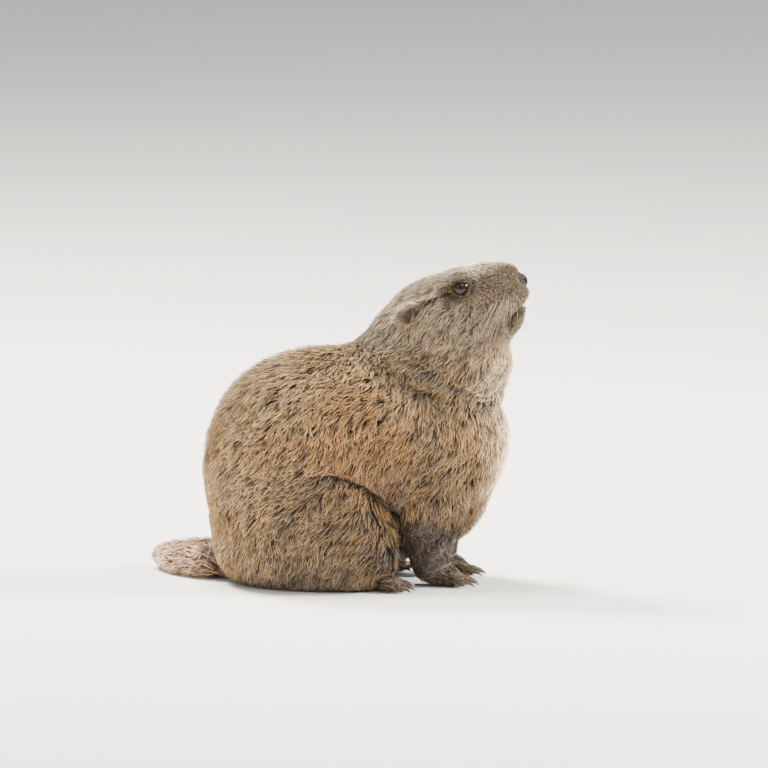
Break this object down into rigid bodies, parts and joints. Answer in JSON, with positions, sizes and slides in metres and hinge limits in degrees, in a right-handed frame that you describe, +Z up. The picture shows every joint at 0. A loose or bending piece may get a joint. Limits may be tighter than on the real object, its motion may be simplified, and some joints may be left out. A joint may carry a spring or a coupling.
{
  "type": "alpine marmot",
  "caption": "Life-size marmot sitting on its haunches, head raised, forefeet on the ground and tail lying behind it.",
  "frame": {"origin": "middle of the bounding box's underside, on the ground that the animal sits on", "axes": "+X towards the nose, +Y towards the animal's left side, +Z up"},
  "size_m": [0.305, 0.1648, 0.2589],
  "materials": {
    "coat": "grizzled grey-brown fur with buff tips",
    "face_fur": "short grey-brown fur",
    "foot_fur": "short dark brown fur with grey hairs",
    "tail_fur": "reddish brown brush, darker to the tip",
    "nose": "bare dark skin, slightly damp",
    "eye": "wet black-brown eye",
    "horn": "dark worn horn"
  },
  "bodies": {
    "root": {"chest": "coat", "ear_left": "face_fur", "ear_right": "face_fur", "eye_left": "eye", "eye_right": "eye", "foreclaw_left_1": "horn", "foreclaw_left_2": "horn", "foreclaw_left_3": "horn", "foreclaw_left_4": "horn", "foreclaw_right_1": "horn", "foreclaw_right_2": "horn", "foreclaw_right_3": "horn", "foreclaw_right_4": "horn", "forefoot_left": "foot_fur", "forefoot_right": "foot_fur", "foreleg_left": "coat", "foreleg_right": "coat", "head": "face_fur", "hindclaw_left_1": "horn", "hindclaw_left_2": "horn", "hindclaw_left_3": "horn", "hindclaw_left_4": "horn", "hindclaw_left_5": "horn", "hindclaw_right_1": "horn", "hindclaw_right_2": "horn", "hindclaw_right_3": "horn", "hindclaw_right_4": "horn", "hindclaw_right_5": "horn", "hindfoot_left": "foot_fur", "hindfoot_right": "foot_fur", "hindleg_left": "coat", "hindleg_right": "coat", "neck": "coat", "nose": "nose", "tail": "tail_fur", "torso": "coat"}
  },
  "joints": []
}
